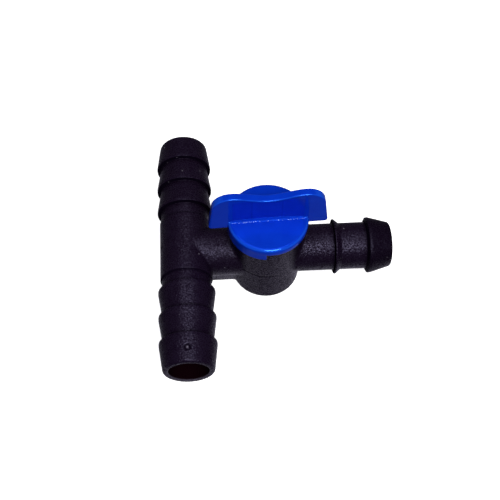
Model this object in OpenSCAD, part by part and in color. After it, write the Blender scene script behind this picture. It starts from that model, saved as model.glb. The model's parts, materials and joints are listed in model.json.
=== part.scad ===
// Barbed tee for 16 mm irrigation pipe with a mini ball valve in its branch.
// Origin: where the run's axis meets the branch's axis.
// +X runs out along the branch, +Y along the run, +Z up along the valve stem.
// The valve is drawn open.

/* [Run] */
// Overall length of the straight run
run_len = 74.2; // [72:0.1:80]
// Radius of the plain tube in the middle of the run
run_tube_r = 7.35; // [7.1:0.05:7.6]
// Half the length of that plain tube
run_tube_half = 9.3; // [8.8:0.1:10]
// Radius of the run's water way
run_bore_r = 5.5; // [4.8:0.1:5.7]

/* [Barbs] */
// Radius of a barb's crest, which stretches the pipe
barb_r = 8; // [7.8:0.05:8.3]
// Radius at the foot of a barb on the run
barb_root_r = 6.95; // [6.7:0.05:7.1]
// Length of the flat crest of a barb
barb_land = 0.7; // [0.5:0.1:1]
// Length of the steep face behind a crest
barb_back = 0.3; // [0.2:0.1:0.5]
// Distance from the tee's centre to the first crest
barb_first = 13.05; // [12.5:0.05:14]
// Distance from one crest to the next
barb_pitch = 7.9; // [7.4:0.1:8.2]
// Barbs on each end of the run
barb_count = 3; // [2:1:3]
// Radius of a nose where the end barb's taper stops
nose_r = 7; // [6.6:0.05:7.1]
// Rounding of a nose
nose_round = 0.6; // [0.4:0.1:0.9]
// Chamfer at the mouth of a water way
mouth_chamfer = 0.3; // [0.1:0.1:0.4]

/* [Branch] */
// Distance from the run's axis to the valve stem's axis
valve_x = 23.1; // [22:0.1:26]
// Distance from the valve stem's axis to the branch's end
branch_reach = 35.6; // [35:0.1:40]
// Outer radius of the branch tube between the run and the chamber
stub_r = 7; // [6.8:0.1:7.2]
// Outer radius of the branch tube beyond the chamber
branch_tube_r = 6.7; // [6.5:0.01:6.9]
// Radius of the branch's water way
branch_bore_r = 4.7; // [4.4:0.1:4.8]
// Distance from the valve stem's axis to the collar's crest
collar_at = 19.25; // [18.5:0.05:20]
// Radius of the collar
collar_r = 7.9; // [7.5:0.1:8.2]
// Length of the collar's sloping face
collar_slope = 1.4; // [1:0.1:1.8]
// Distance from the valve stem's axis to the branch barb's crest
branch_barb_at = 28.9; // [28:0.1:29.5]
// Length of the branch barb's back face
branch_barb_back = 0.7; // [0.4:0.1:1]
// Radius of the branch's nose
branch_nose_r = 6.3; // [6:0.1:6.6]
// Half the width of the stiffening web below the branch
web_half_w = 6.2; // [5:0.1:6.4]
// Depth of that web below the branch's axis
web_depth = 9.7; // [8:0.1:10.5]
// Draft of the web's faces, in degrees
web_draft = 12; // [0:1:15]
// Rounding of the web's lower edges
web_round = 0.6; // [0.3:0.1:1.5]

/* [Chamber] */
// Outer radius of the valve chamber and its neck
chamber_r = 9.76; // [9.7:0.02:10]
// Height of the chamber's underside
chamber_bottom = -11.3; // [-12:0.1:-11]
// Rounding of the chamber's lower edge
chamber_round = 1.5; // [1:0.1:2.6]
// Height of the neck's top
neck_top = 14.6; // [14.5:0.1:14.6]
// Radius of the cavity round the ball
cavity_r = 7.75; // [7.6:0.05:7.8]
// Height of the cavity's floor
cavity_floor = -8.4; // [-8.6:0.1:-8]
// Radius of the neck's bore, which takes the bonnet
neck_bore_r = 8.3; // [8.2:0.05:8.4]
// Height of the shoulder that the bonnet rests on
bonnet_seat_z = 9.3; // [9.3:0.1:9.4]

/* [Stops] */
// Outer radius of the two stop ribs on the neck
stop_r = 10.35; // [10.2:0.05:10.4]
// Height of the stop ribs' lower ends
stop_z = 13.7; // [13.4:0.1:13.9]
// Angle round the neck taken up by a stop rib
stop_sweep = 8; // [5:1:12]
// Free angle left between a stop rib and the handle's tab
stop_gap = 0.5; // [0.3:0.1:1]

/* [Ball and seats] */
// Radius of the ball
ball_r = 7.4; // [7.3:0.05:7.4]
// Width of the slot in the ball for the stem's tang
slot_w = 3.1; // [2.8:0.1:3.2]
// Height of the slot's floor
slot_floor = 5.4; // [5.3:0.1:5.6]
// Running clearance between moving faces
run_gap = 0.03; // [0.02:0.01:0.05]
// Outer radius of a seat ring
seat_r = 5.9; // [5.8:0.05:5.9]
// Distance from the stem's axis to a seat ring's front face
seat_front = 4.9; // [4.8:0.1:5]
// Distance from the stem's axis to a seat ring's back face
seat_back = 8.4; // [8.2:0.1:8.4]
// Distance from the stem's axis to the bottom of a seat pocket
pocket_end = 9.3; // [9.2:0.1:9.4]

/* [Seals] */
// Thickness of every O-ring
cord_d = 1; // [0.9:0.05:1]
// Squeeze of an O-ring on each side
squeeze = 0.05; // [0.02:0.01:0.08]
// Mean radius of a seat's O-ring
seat_seal_r = 5.35; // [5.3:0.05:5.4]
// Height of the bonnet's O-ring
bonnet_seal_z = 10.6; // [10.4:0.1:10.8]
// Height of the lower O-ring on the stem
stem_seal_low = 10.2; // [10:0.1:10.4]
// Height of the upper O-ring on the stem
stem_seal_high = 12.1; // [11.9:0.1:12.3]

/* [Stem and bonnet] */
// Radius of the stem's shaft
shaft_r = 3.25; // [3.1:0.05:3.3]
// Clearance of the stem's shaft in the bonnet
shaft_gap = 0.05; // [0.03:0.01:0.08]
// Radius of the stem's flange, which can't pass the bonnet
flange_r = 5.2; // [4.8:0.1:5.4]
// Thickness of the stem's flange
flange_t = 1.5; // [1.2:0.1:1.5]
// Width of the stem's square head
square_w = 4.2; // [4:0.1:4.3]
// Height of the square head
square_h = 2.35; // [2:0.05:2.4]
// Height of the undercut below the square head
undercut_h = 0.75; // [0.6:0.05:0.8]
// Radius of that undercut
undercut_r = 2; // [1.8:0.1:2]
// Height of the bonnet's top
bonnet_top = 13.2; // [13.1:0.1:13.2]
// Height of the snap bead round the bonnet
bead_z = 12.3; // [12.1:0.1:12.4]
// Thickness of the snap bead
bead_t = 0.6; // [0.4:0.1:0.7]
// How far the snap bead stands out
bead_h = 0.22; // [0.15:0.01:0.25]
// Height of the floor of the moulding recess in the bonnet's top
core_floor = 11.7; // [11.5:0.1:12.3]
// Length of the stem's tang along the ball's slot
tang_len = 8.6; // [7:0.1:9]

/* [Handle] */
// Radius of the handle's disc
disc_r = 11.15; // [10.8:0.05:11.3]
// Height of the disc's underside
disc_bottom = 14.85; // [14.8:0.05:15]
// Thickness of the disc
disc_t = 2.15; // [1.9:0.05:2.4]
// Rounding of the disc's upper edge
disc_round = 1; // [0.4:0.1:1.2]
// Length of the bar along the branch
bar_len = 32.6; // [30:0.2:34]
// Height of the bar's two shoulders
bar_top = 27.7; // [27:0.1:30]
// Depth of the dip between the bar's shoulders
bar_dip = 1.7; // [1:0.1:3]
// How far each end of the bar leans in between its foot and its rounded corner
bar_lean = 0.9; // [0:0.1:1.5]
// Rounding of the bar's upper corners
bar_round = 5.2; // [3:0.1:6]
// Thickness of the bar at its foot
bar_foot_t = 2.6; // [2.4:0.1:3.2]
// Thickness of the bar at its top
bar_head_t = 2.2; // [1.8:0.1:2.4]
// Length of the finger recess in each face of the bar
recess_len = 21.4; // [18:0.2:22]
// Depth of the finger recess
recess_d = 0.6; // [0.2:0.05:0.6]
// Length of the slope at each end of the finger recess
recess_slope = 1.1; // [0.4:0.1:2]
// Height of the rim left above the finger recess
recess_rim = 0.7; // [0.5:0.1:1.4]
// Height of the stop tab's lower edge
tab_z = 12.5; // [12.2:0.1:13.2]
// Inner radius of the stop tab
tab_inner_r = 9.95; // [9.9:0.05:10.05]
// Angle where the stop tab begins
tab_start = 179.5; // [178:0.5:181]
// Angle round the neck taken up by the stop tab
tab_sweep = 85; // [80:1:88]
// How far the handle sits round on the stem's square, within its play
handle_skew = 2; // [0:0.1:2]

/* [Hidden] */
$fn = 96;

black = [0.1, 0.09, 0.11];
blue = [0.03, 0.22, 0.78];
rubber = [0.06, 0.06, 0.06];
acetal = [0.9, 0.9, 0.87];
ptfe = [0.96, 0.96, 0.94];

// A turn of the handle from open to closed
quarter = 90;
// Overlap of two solids that are joined into one
join = 0.5;
// How far a cutter reaches past the face that it cuts
past = 1;
// Steps in a quarter turn of a rounded edge
arc_steps = 8;

run_half = run_len / 2;
web_start = run_tube_r - 1;
branch_end = valve_x + branch_reach;
bonnet_t = bonnet_top - bonnet_seat_z;
bonnet_r = neck_bore_r - run_gap;
bonnet_bore_r = shaft_r + shaft_gap;
bead_r = bonnet_r + bead_h;
core_wall = 1.4;
core_out_r = bonnet_bore_r + core_wall + 1.9;
core_in_r = bonnet_bore_r + core_wall;
pocket_r = seat_r + run_gap;
// A groove is this much wider than its O-ring
groove_w = cord_d + 0.1;
seal_gap = 0.02;
stem_seal_r = bonnet_bore_r - seal_gap - cord_d / 2;
stem_groove_r = stem_seal_r - cord_d / 2 + squeeze;
bonnet_seal_r = neck_bore_r + squeeze - cord_d / 2;
bonnet_groove_r = bonnet_seal_r - cord_d / 2 + squeeze;
seat_seal_x = (seat_back + pocket_end) / 2;
// End clearance between parts that are stacked along the stem
end_gap = 0.1;
// Clearance of the square head in its socket, on each side
socket_gap = 0.1;
tang_t = slot_w - 2 * shaft_gap;
flange_top = bonnet_seat_z - end_gap;
tang_foot = slot_floor + end_gap;
square_foot = bonnet_top + undercut_h;
square_top = square_foot + square_h;
socket_top = square_top + end_gap;
socket_w = square_w + 2 * socket_gap;
boss_r = 4.4;
boss_foot = bonnet_top + 2 * end_gap;
boss_mouth_r = undercut_r + 0.45;
disc_top = disc_bottom + disc_t;
// Height of the bar's underside, a little above the disc's so that the two faces don't run together
bar_foot = disc_bottom + 0.05;
// Outer radius of the stop tab, a little inside the disc's rim
tab_outer_r = disc_r - 0.05;
bar_half = bar_len / 2;
bar_shoulder = bar_half - bar_lean - bar_round;
bar_foot_round = 0.9;
// Share of the finger recess that its flat middle takes up
recess_facet = 0.42;
// Share of the depth that the side faces lose on their way out
recess_rise = 0.5;
// Height of the fillet left at the finger recess's foot
recess_foot = 0.3;

// Points on a round edge of radius r about the point c, from angle a to angle b
function arc(c, r, a, b) = [
    for (i = [0 : arc_steps])
        let (t = a + (b - a) * i / arc_steps)
        c + r * [cos(t), sin(t)]
];

// One barb as [radius, distance] points, its crest starting at the distance d
function barb(d, back) = [
    [barb_root_r, d - back],
    [barb_r, d],
    [barb_r, d + barb_land]
];

// Everything on the branch and the valve is drawn about the stem's axis
module at_valve() {
    translate([valve_x, 0, 0]) children();
}

// A solid turned about the branch's axis, from its [radius, distance] outline
module turned_x(outline) {
    rotate([0, 90, 0]) rotate_extrude() polygon(outline);
}

// A plain round bar along the branch, from one distance to another
module bar_x(r, from, to) {
    translate([from, 0, 0]) rotate([0, 90, 0]) cylinder(r = r, h = to - from);
}

// An O-ring lying flat about +Z, its cord centred on the mean radius
module oring(mean_r) {
    rotate_extrude() translate([mean_r, 0]) circle(d = cord_d);
}

// A piece of a flat ring about +Z, starting at the angle a
module ring_sector(inner_r, outer_r, from, to, a, sweep) {
    rotate([0, 0, a])
        rotate_extrude(angle = sweep)
            translate([inner_r, from]) square([outer_r - inner_r, to - from]);
}

// ---- body: tee, valve chamber and outlet barb in one moulding ----

// One half of the run's outside, drawn along +Z
module run_half_outside() {
    nose_c = [nose_r - nose_round, run_half - nose_round];
    rotate_extrude() polygon(concat(
        [[0, -join], [run_tube_r, -join], [run_tube_r, run_tube_half],
         [barb_root_r, run_tube_half + barb_back]],
        [for (i = [0 : barb_count - 1]) each barb(barb_first + i * barb_pitch, barb_back)],
        arc(nose_c, nose_round, 0, 90),
        [[0, run_half]]
    ));
}

module branch_outside() {
    nose_c = [branch_nose_r - nose_round, branch_reach - nose_round];
    turned_x(concat(
        [[0, -valve_x], [stub_r, -valve_x], [stub_r, 0], [branch_tube_r, 0],
         [branch_tube_r, collar_at - barb_back],
         [collar_r, collar_at], [collar_r, collar_at + barb_back],
         [branch_tube_r, collar_at + barb_back + collar_slope],
         [branch_tube_r, branch_barb_at - branch_barb_back],
         [barb_r, branch_barb_at], [barb_r, branch_barb_at + barb_land]],
        arc(nose_c, nose_round, 0, 90),
        [[0, branch_reach]]
    ));
}

module chamber_outside() {
    foot_c = [chamber_r - chamber_round, chamber_bottom + chamber_round];
    rotate_extrude() polygon(concat(
        [[0, neck_top], [0, chamber_bottom]],
        arc(foot_c, chamber_round, -90, 0),
        [[chamber_r, neck_top]]
    ));
}

// The web's cross-section, drafted, with its two lower edges rounded
module web_section() {
    foot_w = web_half_w - (web_depth - web_round) * tan(web_draft) - web_round / cos(web_draft);
    polygon(concat(
        [[-web_half_w, 0]],
        arc([-foot_w, web_round - web_depth], web_round, web_draft - 180, -90),
        arc([foot_w, web_round - web_depth], web_round, -90, -web_draft),
        [[web_half_w, 0]]
    ));
}

module web() {
    translate([web_start, 0, 0])
        rotate([90, 0, 90]) linear_extrude(valve_x - web_start) web_section();
}

module stop_ribs() {
    open_stop = tab_start + tab_sweep + stop_gap;
    closed_stop = tab_start - quarter - stop_gap - stop_sweep;
    for (a = [open_stop, closed_stop])
        ring_sector(chamber_r - join, stop_r, stop_z, neck_top, a, stop_sweep);
}

module chamber_hollows() {
    translate([0, 0, cavity_floor]) cylinder(r = cavity_r, h = neck_top - cavity_floor);
    translate([0, 0, bonnet_seat_z]) cylinder(r = neck_bore_r, h = neck_top);
    translate([0, 0, bead_z - run_gap])
        cylinder(r = bead_r + run_gap, h = bead_t + 2 * run_gap);
    bar_x(pocket_r, -pocket_end, pocket_end);
}

// The chamfer cut at the mouth of a water way of radius r
module mouth(r) {
    cylinder(r1 = r, r2 = r + 2 * mouth_chamfer, h = 2 * mouth_chamfer);
}

module water_ways() {
    rotate([90, 0, 0]) cylinder(r = run_bore_r, h = run_len + 2 * past, center = true);
    for (side = [-1, 1])
        rotate([-90 * side, 0, 0])
            translate([0, 0, run_half - mouth_chamfer])
                mouth(run_bore_r);
    bar_x(branch_bore_r, 0, branch_end + past);
    translate([branch_end - mouth_chamfer, 0, 0]) rotate([0, 90, 0]) mouth(branch_bore_r);
}

module body() {
    color(black) difference() {
        union() {
            for (side = [-1, 1]) rotate([-90 * side, 0, 0]) run_half_outside();
            at_valve() branch_outside();
            at_valve() chamber_outside();
            at_valve() stop_ribs();
            web();
        }
        water_ways();
        at_valve() chamber_hollows();
    }
}

// ---- ball and its seats ----

module ball() {
    color(acetal) at_valve() difference() {
        sphere(r = ball_r);
        bar_x(branch_bore_r, -ball_r - past, ball_r + past);
        translate([-slot_w / 2, -ball_r - past, slot_floor])
            cube([slot_w, 2 * (ball_r + past), ball_r]);
    }
}

// A seat ring on the +X side, hollowed to the ball
module seat() {
    color(ptfe) difference() {
        bar_x(seat_r, seat_front, seat_back);
        bar_x(branch_bore_r, seat_front - past, seat_back + past);
        sphere(r = ball_r + run_gap);
    }
}

module seat_inlet() {
    at_valve() rotate([0, 0, 180]) seat();
}

module seat_outlet() {
    at_valve() seat();
}

module seat_oring(side) {
    color(rubber) at_valve()
        translate([side * seat_seal_x, 0, 0]) rotate([0, 90, 0]) oring(seat_seal_r);
}

module seat_oring_inlet() {
    seat_oring(-1);
}

module seat_oring_outlet() {
    seat_oring(1);
}

// ---- stem, its seals and the bonnet ----

// What an O-ring groove takes away round +Z: all past the radius r, about the height z
module groove_cut(r, z, outer_r) {
    translate([0, 0, z - groove_w / 2]) difference() {
        cylinder(r = outer_r + past, h = groove_w);
        translate([0, 0, -past]) cylinder(r = r, h = groove_w + 2 * past);
    }
}

module stem() {
    shaft_h = bonnet_top - flange_top + join;
    undercut_len = undercut_h + 2 * join;
    color(black) at_valve() difference() {
        union() {
            translate([0, 0, flange_top - flange_t]) cylinder(r = flange_r, h = flange_t);
            translate([0, 0, flange_top - join]) cylinder(r = shaft_r, h = shaft_h);
            translate([0, 0, bonnet_top - join]) cylinder(r = undercut_r, h = undercut_len);
            translate([-square_w / 2, -square_w / 2, square_foot])
                cube([square_w, square_w, square_h]);
            translate([-tang_t / 2, -tang_len / 2, tang_foot])
                cube([tang_t, tang_len, flange_top - tang_foot - join]);
        }
        for (z = [stem_seal_low, stem_seal_high]) groove_cut(stem_groove_r, z, shaft_r);
    }
}

module stem_oring(z) {
    color(rubber) at_valve() translate([0, 0, z]) oring(stem_seal_r);
}

module stem_oring_lower() {
    stem_oring(stem_seal_low);
}

module stem_oring_upper() {
    stem_oring(stem_seal_high);
}

module bonnet() {
    color(black) at_valve() difference() {
        union() {
            translate([0, 0, bonnet_seat_z]) cylinder(r = bonnet_r, h = bonnet_t);
            translate([0, 0, bead_z]) cylinder(r = bead_r, h = bead_t);
        }
        translate([0, 0, bonnet_seat_z - past])
            cylinder(r = bonnet_bore_r, h = bonnet_t + 2 * past);
        groove_cut(bonnet_groove_r, bonnet_seal_z, bead_r);
        translate([0, 0, core_floor]) difference() {
            cylinder(r = core_out_r, h = bonnet_t);
            translate([0, 0, -past]) cylinder(r = core_in_r, h = bonnet_t + 2 * past);
        }
    }
}

module bonnet_oring() {
    color(rubber) at_valve() translate([0, 0, bonnet_seal_z]) oring(bonnet_seal_r);
}

// ---- handle ----

module disc() {
    rim_c = [disc_r - disc_round, disc_top - disc_round];
    rotate_extrude() polygon(concat(
        [[0, disc_top], [0, disc_bottom], [disc_r, disc_bottom]],
        arc(rim_c, disc_round, 0, 90)
    ));
}

// Height of the bar's top edge at the distance x from the stem, a smooth dip between the shoulders
function bar_edge(x) = bar_top - bar_dip * (1 + cos(180 * x / bar_shoulder)) / 2;

// The bar seen from the front
module bar_face() {
    foot = bar_foot + bar_foot_round;
    head = bar_top - bar_round;
    dip_steps = 3 * arc_steps;
    polygon(concat(
        arc([bar_half - bar_foot_round, foot], bar_foot_round, -90, 0),
        arc([bar_shoulder, head], bar_round, 0, 90),
        [for (i = [1 : dip_steps - 1])
            let (x = bar_shoulder * (1 - 2 * i / dip_steps))
            [x, bar_edge(x)]],
        arc([-bar_shoulder, head], bar_round, 90, 180),
        arc([bar_foot_round - bar_half, foot], bar_foot_round, 180, 270)
    ));
}

// The bar seen from its end, thinner at the top
module bar_end() {
    polygon([
        [-bar_foot_t / 2, bar_foot], [bar_foot_t / 2, bar_foot],
        [bar_head_t / 2, bar_top], [-bar_head_t / 2, bar_top]
    ]);
}

// The finger recess in one face: a flat middle, two faces that run outwards and a slope at each end
module recess() {
    half = recess_len / 2;
    facet = half * recess_facet;
    side = half - recess_slope;
    face_y = bar_head_t / 2;
    floor_y = face_y - recess_d;
    side_y = floor_y + recess_rise * recess_d;
    depth = bar_foot_t;
    intersection() {
        translate([0, 0, disc_top + recess_foot]) linear_extrude(bar_top)
            polygon([
                [-half, face_y], [-side, side_y], [-facet, floor_y], [facet, floor_y],
                [side, side_y], [half, face_y], [half, depth], [-half, depth]
            ]);
        translate([0, depth, -recess_rim]) rotate([90, 0, 0]) linear_extrude(depth) bar_face();
    }
}

module bar() {
    difference() {
        intersection() {
            rotate([90, 0, 0]) linear_extrude(2 * bar_foot_t, center = true) bar_face();
            rotate([90, 0, 90]) linear_extrude(bar_len + 2 * past, center = true) bar_end();
        }
        for (a = [0, 180]) rotate([0, 0, a]) recess();
    }
}

module stop_tab() {
    ring_sector(tab_inner_r, tab_outer_r, tab_z, disc_bottom + join, tab_start, tab_sweep);
}

// The boss under the disc that hooks over the stem's square head
module boss() {
    translate([0, 0, boss_foot]) cylinder(r = boss_r, h = disc_bottom - boss_foot + join);
}

module socket() {
    socket_foot = square_foot - run_gap;
    rotate([0, 0, handle_skew]) translate([-socket_w / 2, -socket_w / 2, socket_foot])
        cube([socket_w, socket_w, socket_top - socket_foot]);
    translate([0, 0, boss_foot - past])
        cylinder(r = boss_mouth_r, h = square_foot - boss_foot + past);
}

module handle() {
    color(blue) at_valve() difference() {
        union() {
            disc();
            rotate([0, 0, handle_skew]) bar();
            stop_tab();
            boss();
        }
        socket();
    }
}

body();
ball();
seat_inlet();
seat_outlet();
seat_oring_inlet();
seat_oring_outlet();
stem();
stem_oring_lower();
stem_oring_upper();
bonnet();
bonnet_oring();
handle();
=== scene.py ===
"""Looks of a barbed tee with a mini ball valve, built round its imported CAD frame.

The moulded body and the handle are meshed here from signed distance functions, so that their
fillets and rounded edges are real geometry. All other parts keep their CAD meshes.
Lengths are in millimetres until a mesh is made.
"""
import json
import math

import bpy
import numpy as np
from mathutils import Matrix, Vector


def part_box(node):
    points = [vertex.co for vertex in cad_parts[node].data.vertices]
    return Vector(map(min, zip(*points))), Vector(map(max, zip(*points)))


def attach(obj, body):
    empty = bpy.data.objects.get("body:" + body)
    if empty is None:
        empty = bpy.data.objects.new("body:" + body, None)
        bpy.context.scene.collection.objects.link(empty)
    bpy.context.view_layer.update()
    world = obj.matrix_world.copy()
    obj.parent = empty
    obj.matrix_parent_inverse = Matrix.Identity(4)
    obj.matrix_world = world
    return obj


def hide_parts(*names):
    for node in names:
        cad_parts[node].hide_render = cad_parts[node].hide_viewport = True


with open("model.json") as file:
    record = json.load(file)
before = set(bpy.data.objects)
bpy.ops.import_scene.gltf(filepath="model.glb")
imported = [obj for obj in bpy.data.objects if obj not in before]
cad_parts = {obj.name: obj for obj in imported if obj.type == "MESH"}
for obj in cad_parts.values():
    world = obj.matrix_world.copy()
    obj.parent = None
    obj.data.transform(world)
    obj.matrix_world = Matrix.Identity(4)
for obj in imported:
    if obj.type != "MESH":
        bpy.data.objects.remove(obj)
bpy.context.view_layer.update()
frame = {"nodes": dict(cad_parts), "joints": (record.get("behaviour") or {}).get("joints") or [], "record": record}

MM = 0.001
X, Y, Z = 0, 1, 2


def box_mm(node):
    low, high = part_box(node)
    return np.array(low) / MM, np.array(high) / MM


def mount_radius(name):
    return next(m["dims"]["r_mm"] for m in frame["record"]["mounts"] if m["name"] == name)


# ---- driving dimensions: read from the frame where it holds them ----

body_low, body_high = box_mm("body")
handle_low, handle_high = box_mm("handle")
STEM_X = frame["joints"][0]["pos_m"][0] / MM
STEM = (STEM_X, 0, 0)
RUN_HALF = body_high[Y]
BRANCH_END = body_high[X]
CHAMBER_BOTTOM = body_low[Z]
NECK_TOP = body_high[Z]
BARB_R = mount_radius("run_barb_front")
RUN_BORE_R = mount_radius("run_bore")
BRANCH_BORE_R = mount_radius("outlet_bore")

# The run: a plain tube, then three barbs to each end
RUN_TUBE_R = 7.35
RUN_TUBE_HALF = 9.3
BARB_ROOT_R = 6.95
BARB_LAND = 0.7
BARB_BACK = 0.3
BARB_FIRST = 13.05
BARB_PITCH = 7.9
BARB_COUNT = 3
BARB_LAST = BARB_FIRST + (BARB_COUNT - 1) * BARB_PITCH
NOSE_R = 7.0
NOSE_ROUND = 0.9
MOUTH_CHAMFER = 0.3

# The branch: a stub up to the stem, then a tube with a collar and one barb
STUB_R = 7.0
BRANCH_TUBE_R = 6.7
COLLAR_AT = STEM_X + 19.25
COLLAR_R = 7.9
COLLAR_SLOPE = 1.4
BRANCH_BARB_AT = STEM_X + 28.9
BRANCH_BARB_BACK = 0.7
BRANCH_NOSE_R = 6.3

# The valve chamber, the web under the stub, the stop ribs on the neck, and the hollows inside
CHAMBER_R = 9.76
CHAMBER_ROUND = 1.5
WEB_HALF_W = 6.2
WEB_DEPTH = 9.7
WEB_DRAFT = math.radians(12)
WEB_ROUND = 0.6
STOP_R = 10.35
STOP_Z = 13.7
STOP_SWEEP = 8.0
STOP_PLAY = 0.5
QUARTER_TURN = 90
CAVITY_R = 7.75
CAVITY_FLOOR = -8.4
NECK_BORE_R = 8.3
BONNET_SEAT_Z = 9.3
POCKET_R = 5.93
POCKET_END = 9.3

# The handle: a disc with a bar on it, a stop tab under its rim and a boss with a square socket
DISC_R = 11.15
DISC_BOTTOM = 14.85
DISC_TOP = 17.0
DISC_ROUND = 1.0
BAR_FOOT_Z = 14.9
BAR_TOP = handle_high[Z]
BAR_HALF = 16.3
BAR_DIP = 1.7
BAR_LEAN = 0.9
BAR_ROUND = 5.2
BAR_FOOT_T = 2.6
BAR_HEAD_T = 2.2
BAR_FOOT_ROUND = 0.9
RECESS_HALF = 10.7
RECESS_SLOPE = 1.1
RECESS_DEPTH = 0.6
RECESS_RISE = 0.5
RECESS_RIM = 0.7
RECESS_FACET = 0.42 * RECESS_HALF
RECESS_FOOT = 0.3
CREASE_RIGHT = 0.35 * RECESS_HALF
TAB_BOTTOM = handle_low[Z]
TAB_IN_R = 9.95
TAB_OUT_R = 11.1
TAB_START = 179.5
TAB_SWEEP = 85.0
HANDLE_SKEW = 2.0
BOSS_R = 4.4
BOSS_FOOT = 13.4
SOCKET_HALF = 2.2
SOCKET_FOOT = 13.92
SOCKET_TOP = 16.4
BOSS_MOUTH_R = 2.45

# Solids that join reach this far into each other
OVERLAP = 0.5

# Fillets and edge roundings of the mouldings
TEE_FILLET = 0.9
CHAMBER_FILLET = 1.1
WEB_FILLET = 0.35
CREST_ROUND = 0.14
ROOT_ROUND = 0.2
STEP_ROUND = 0.12
COLLAR_ROUND = 0.5
MOUTH_ROUND = 0.08
EDGE_ROUND = 0.15
BAR_EDGE = 0.32
BAR_FILLET = 0.18
RECESS_ROUND = 0.12
BOSS_ROUND = 0.1

# Mesh sizes, small enough for smooth outlines and under the STL file's limit of triangles
BODY_CELL = 0.33
HANDLE_CELL = 0.16
RING_STEPS = 132
NORMAL_STEP = 0.02


# ---- signed distance functions: each takes points (N, 3) and gives N distances ----


def tube(axis, radius, centre=(0, 0, 0)):
    """A round bar along an axis, without ends."""
    i, j = [k for k in (X, Y, Z) if k != axis]
    return lambda p: np.hypot(p[:, i] - centre[i], p[:, j] - centre[j]) - radius


def above(axis, level):
    """The half space past a level on an axis."""
    return lambda p: level - p[:, axis]


def below(axis, level):
    return lambda p: p[:, axis] - level


def meet(*solids, rounding=0.0):
    """What is common to the solids, with their shared edges rounded."""

    def two(a, b):
        corner = np.hypot(np.maximum(a + rounding, 0), np.maximum(b + rounding, 0))
        return np.minimum(np.maximum(a, b), -rounding) + corner

    def distance(p):
        d = solids[0](p)
        for solid in solids[1:]:
            d = two(d, solid(p)) if rounding else np.maximum(d, solid(p))
        return d

    return distance


def join(*solids):
    return lambda p: np.minimum.reduce([s(p) for s in solids])


def cut(solid, cutter, rounding=0.0):
    return meet(solid, lambda p: -cutter(p), rounding=rounding)


def gradient(solid, p, step=0.01):
    g = np.empty_like(p)
    for k in (X, Y, Z):
        offset = np.zeros(3)
        offset[k] = step
        g[:, k] = solid(p + offset) - solid(p - offset)
    return g / np.maximum(np.linalg.norm(g, axis=1, keepdims=True), 1e-9)


def blend(first, second, radius):
    """Two solids joined with a fillet of that radius, whatever the angle at which they meet."""

    def distance(p):
        a, b = first(p), second(p)
        d = np.minimum(a, b)
        near = (np.maximum(a, b) < radius) & (d > -radius)
        q = p[near]
        if len(q):
            c = np.sum(gradient(first, q) * gradient(second, q), axis=1)
            u, v = radius - a[near], radius - b[near]
            reach = np.sqrt(np.maximum(u * u + v * v - 2 * u * v * c, 0) / np.maximum(1 - c * c, 1e-3))
            wedge = (u > v * c) & (v > u * c)
            d[near] = np.where(wedge, np.minimum(d[near], radius - reach), d[near])
        return d

    return distance


def sector(inner_r, outer_r, low, high, start, sweep, rounding):
    """A piece of a flat ring about the stem."""
    middle = math.radians(start + sweep / 2)
    half = math.radians(sweep / 2)

    def side(p):
        angle = np.arctan2(p[:, Y], p[:, X] - STEM_X) - middle
        angle = np.abs((angle + math.pi) % (2 * math.pi) - math.pi) - half
        rho = np.hypot(p[:, X] - STEM_X, p[:, Y])
        return rho * np.sin(np.clip(angle, -math.pi / 2, math.pi / 2))

    ring, hole = tube(Z, outer_r, STEM), tube(Z, inner_r, STEM)
    return meet(ring, lambda p: -hole(p), above(Z, low), below(Z, high), side, rounding=rounding)


def outline_distance(points, x, y):
    """Distance from the points (x, y) to a closed outline, below zero inside it."""
    best = np.full(len(x), np.inf)
    inside = np.zeros(len(x), bool)
    for (x0, y0), (x1, y1) in zip(points, np.roll(points, -1, axis=0)):
        dx, dy = x1 - x0, y1 - y0
        t = np.clip(((x - x0) * dx + (y - y0) * dy) / (dx * dx + dy * dy), 0, 1)
        best = np.minimum(best, (x - x0 - t * dx) ** 2 + (y - y0 - t * dy) ** 2)
        if y0 != y1:
            crosses = ((y0 > y) != (y1 > y)) & (x < dx * (y - y0) / dy + x0)
            inside ^= crosses
    return np.where(inside, -1, 1) * np.sqrt(best)


# ---- meshing ----


def sample(solid, axes, at_once=200_000):
    """Distances on a grid, worked out a few layers at a time."""
    shape = [len(a) for a in axes]
    d = np.empty(shape)
    layers = max(1, at_once // (shape[1] * shape[2]))
    for i in range(0, shape[0], layers):
        grid = np.meshgrid(axes[0][i:i + layers], axes[1], axes[2], indexing="ij")
        p = np.stack([g.ravel() for g in grid], axis=1)
        d[i:i + layers] = solid(p).reshape(grid[0].shape)
    return d


def edge_crossings(solid, p0, p1, d0, d1, rounds=3):
    """Where the surface crosses the segments from p0 to p1."""
    t0, t1 = np.zeros(len(d0)), np.ones(len(d0))
    a, b = d0.copy(), d1.copy()
    for _ in range(rounds):
        t = np.clip(t0 + (t1 - t0) * a / (a - b), t0, t1)
        d = solid(p0 + t[:, None] * (p1 - p0))
        same = (d < 0) == (a < 0)
        t0, a = np.where(same, t, t0), np.where(same, d, a)
        t1, b = np.where(same, t1, t), np.where(same, b, d)
    t = t0 + (t1 - t0) * a / np.where(a == b, 1, a - b)
    return p0 + t[:, None] * (p1 - p0)


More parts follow.
